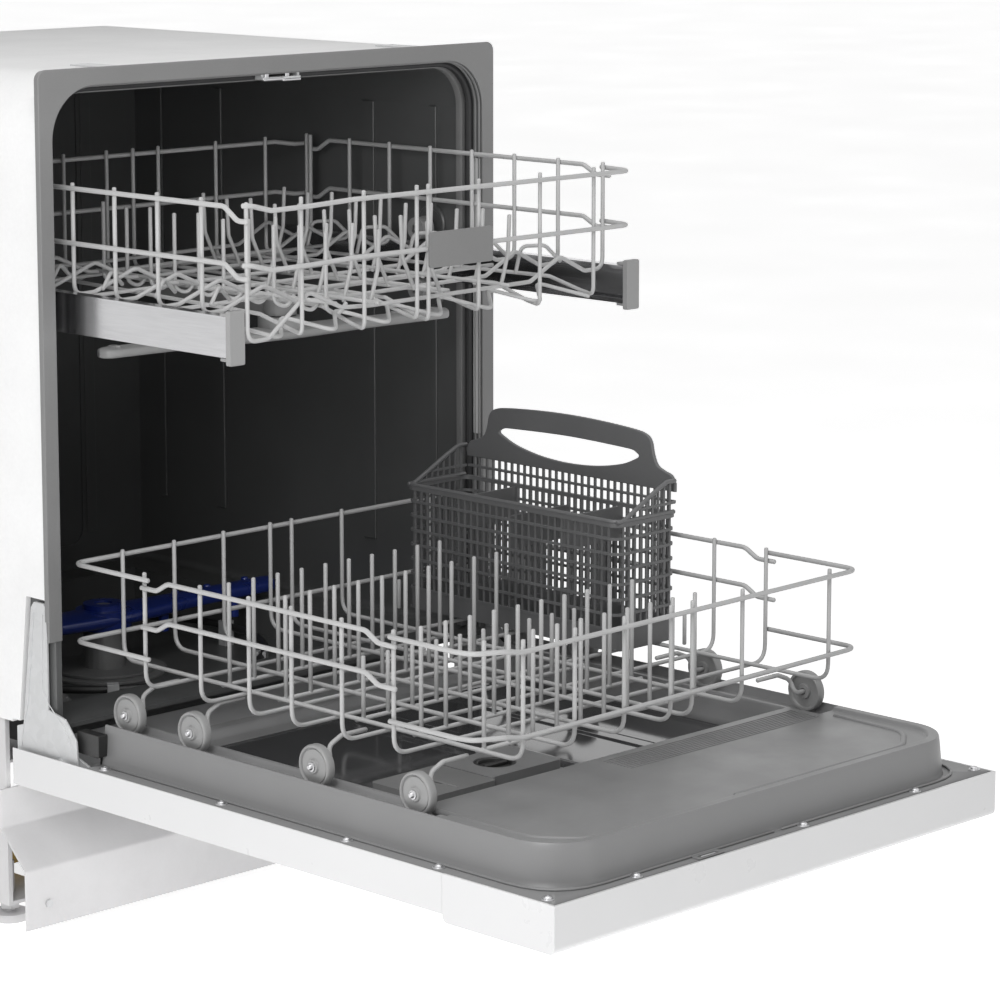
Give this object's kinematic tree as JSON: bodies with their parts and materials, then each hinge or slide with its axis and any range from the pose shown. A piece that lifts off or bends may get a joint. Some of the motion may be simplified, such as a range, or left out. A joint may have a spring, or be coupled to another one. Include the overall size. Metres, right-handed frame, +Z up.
{
  "type": "built-in dishwasher",
  "caption": "Built-in dishwasher with its door folded down, both wire racks pulled out, a cutlery basket and rotating spray arms.",
  "frame": {"origin": "middle of the whole length and width, on the floor that the levelling feet stand on, with the door open; the tub's front face is the plane y = 0.036 m", "axes": "+X to the right seen from in front, +Y back into the cabinet, +Z up from the floor"},
  "size_m": [0.6, 1.2625, 0.85],
  "materials": {
    "tub_dark": "satin",
    "frame_grey": "satin",
    "panel_grey": "gloss",
    "door_white": "semi-gloss",
    "toe_white": "semi-gloss",
    "rack_wire": "satin",
    "soft_black": "matte",
    "plastic_black": "satin",
    "galvanised": "satin",
    "rail_steel": "brushed",
    "arm_blue": "gloss",
    "light_plastic": "satin",
    "basket_grey": "satin",
    "board_green": "satin",
    "brass": "satin",
    "blanket": "matte"
  },
  "bodies": {
    "tub": {"tub_shell": "tub_dark", "tub_flange": "frame_grey", "tub_gasket": "soft_black", "insulation_blanket": "blanket", "base_frame": "toe_white", "levelling_feet": "toe_white", "sump": "tub_dark", "filter": "frame_grey", "wash_pump": "galvanised", "drain_pump": "plastic_black", "inlet_valve": "brass", "junction_box": "galvanised", "heater_ring": "plastic_black", "heater_clips": "galvanised", "lower_spray_tower": "frame_grey", "feed_tube": "frame_grey", "hinge_brackets": "galvanised", "hinge_pins": "galvanised", "counterbalance_springs": "galvanised", "toe_panel": "toe_white", "toe_screws": "galvanised", "countertop_brackets": "galvanised", "door_strike": "galvanised", "roller_axles": "galvanised"},
    "float": {"float_cap": "frame_grey"},
    "lower_arm": {"lower_spray_arm": "arm_blue"},
    "rollers_upper": {"wall_rollers_upper": "light_plastic"},
    "rollers_lower": {"wall_rollers_lower": "light_plastic"},
    "door": {"door_pan": "door_white", "door_console": "door_white", "door_inner_panel": "panel_grey", "door_insulation": "blanket", "panel_screws": "galvanised", "dispenser_body": "panel_grey", "door_seal": "soft_black", "hinge_arms": "galvanised", "hinge_blocks": "plastic_black", "control_board": "board_green"},
    "lid": {"dispenser_lid": "frame_grey"},
    "cap": {"rinse_cap": "basket_grey"},
    "start": {"start_button": "frame_grey"},
    "cycle": {"cycle_button": "frame_grey"},
    "rails": {"upper_rails": "rail_steel", "rail_end_caps": "light_plastic"},
    "upper_rack": {"upper_rack_rims": "rack_wire", "upper_rack_sides": "rack_wire", "upper_rack_floor": "rack_wire", "badge_plate": "frame_grey", "middle_manifold": "frame_grey"},
    "middle_arm": {"middle_spray_arm": "light_plastic"},
    "lower_rack": {"lower_rack_rims": "rack_wire", "lower_rack_sides": "rack_wire", "lower_rack_floor": "rack_wire", "wheel_stubs": "rack_wire"},
    "wheels_a": {"lower_wheels_a": "light_plastic"},
    "wheels_b": {"lower_wheels_b": "light_plastic"},
    "wheels_c": {"lower_wheels_c": "light_plastic"},
    "wheels_d": {"lower_wheels_d": "light_plastic"},
    "basket": {"basket_shell": "basket_grey", "basket_handle": "basket_grey"}
  },
  "joints": [
    {"name": "door_hinge", "type": "hinge", "parent": "tub", "child": "door", "pos_m": [0, 0.028, 0.186], "axis": [-1, 0, 0], "range_deg": [0, 25]},
    {"name": "rails_slide", "type": "slide", "parent": "tub", "child": "rails", "axis": [0, -1, 0], "range_m": [-0.242, 0]},
    {"name": "upper_rack_slide", "type": "slide", "parent": "rails", "child": "upper_rack", "axis": [0, -1, 0], "range_m": [-0.064, 0]},
    {"name": "middle_arm_spin", "type": "hinge", "parent": "upper_rack", "child": "middle_arm", "pos_m": [0, 0.039, 0.58], "axis": [0, 0, 1], "continuous": true},
    {"name": "rollers_upper_turn", "type": "hinge", "parent": "tub", "child": "rollers_upper", "pos_m": [0, 0.108, 0.651], "axis": [1, 0, 0], "continuous": true},
    {"name": "rollers_lower_turn", "type": "hinge", "parent": "tub", "child": "rollers_lower", "pos_m": [0, 0.108, 0.587], "axis": [1, 0, 0], "continuous": true},
    {"name": "lower_rack_slide", "type": "slide", "parent": "door", "child": "lower_rack", "axis": [0, -1, 0], "range_m": [-0.541, 0]},
    {"name": "lower_arm_spin", "type": "hinge", "parent": "tub", "child": "lower_arm", "pos_m": [0, 0.326, 0.238], "axis": [0, 0, 1], "continuous": true},
    {"name": "float_rise", "type": "slide", "parent": "tub", "child": "float", "axis": [0, 0, 1], "range_m": [0, 0.008]},
    {"name": "lid_slide", "type": "slide", "parent": "door", "child": "lid", "axis": [-1, 0, 0], "range_m": [0, 0.045]},
    {"name": "cap_turn", "type": "hinge", "parent": "door", "child": "cap", "pos_m": [-0.062, -0.325, 0.21], "axis": [0, 0, 1], "range_deg": [0, 90]},
    {"name": "start_press", "type": "slide", "parent": "door", "child": "start", "axis": [0, 0, 1], "range_m": [0, 0.0012], "stiffness_N_per_m": 400},
    {"name": "cycle_press", "type": "slide", "parent": "door", "child": "cycle", "axis": [0, 0, 1], "range_m": [0, 0.0012], "stiffness_N_per_m": 400},
    {"name": "basket_lift", "type": "slide", "parent": "lower_rack", "child": "basket", "axis": [0, 0, 1], "range_m": [0, 0.03]},
    {"name": "wheels_a_turn", "type": "hinge", "parent": "lower_rack", "child": "wheels_a", "pos_m": [0, -0.037, 0.2426], "axis": [1, 0, 0], "continuous": true},
    {"name": "wheels_b_turn", "type": "hinge", "parent": "lower_rack", "child": "wheels_b", "pos_m": [0, -0.131, 0.2426], "axis": [1, 0, 0], "continuous": true},
    {"name": "wheels_c_turn", "type": "hinge", "parent": "lower_rack", "child": "wheels_c", "pos_m": [0, -0.299, 0.2426], "axis": [1, 0, 0], "continuous": true},
    {"name": "wheels_d_turn", "type": "hinge", "parent": "lower_rack", "child": "wheels_d", "pos_m": [0, -0.43, 0.2426], "axis": [1, 0, 0], "continuous": true}
  ],
  "couplings": [
    {"joint": "rollers_upper_turn", "follows": "rails_slide", "rad_per_m": -83.333},
    {"joint": "rollers_lower_turn", "follows": "rails_slide", "rad_per_m": 83.333},
    {"joint": "wheels_a_turn", "follows": "lower_rack_slide", "rad_per_m": 50},
    {"joint": "wheels_b_turn", "follows": "lower_rack_slide", "rad_per_m": 50},
    {"joint": "wheels_c_turn", "follows": "lower_rack_slide", "rad_per_m": 50},
    {"joint": "wheels_d_turn", "follows": "lower_rack_slide", "rad_per_m": 50}
  ]
}
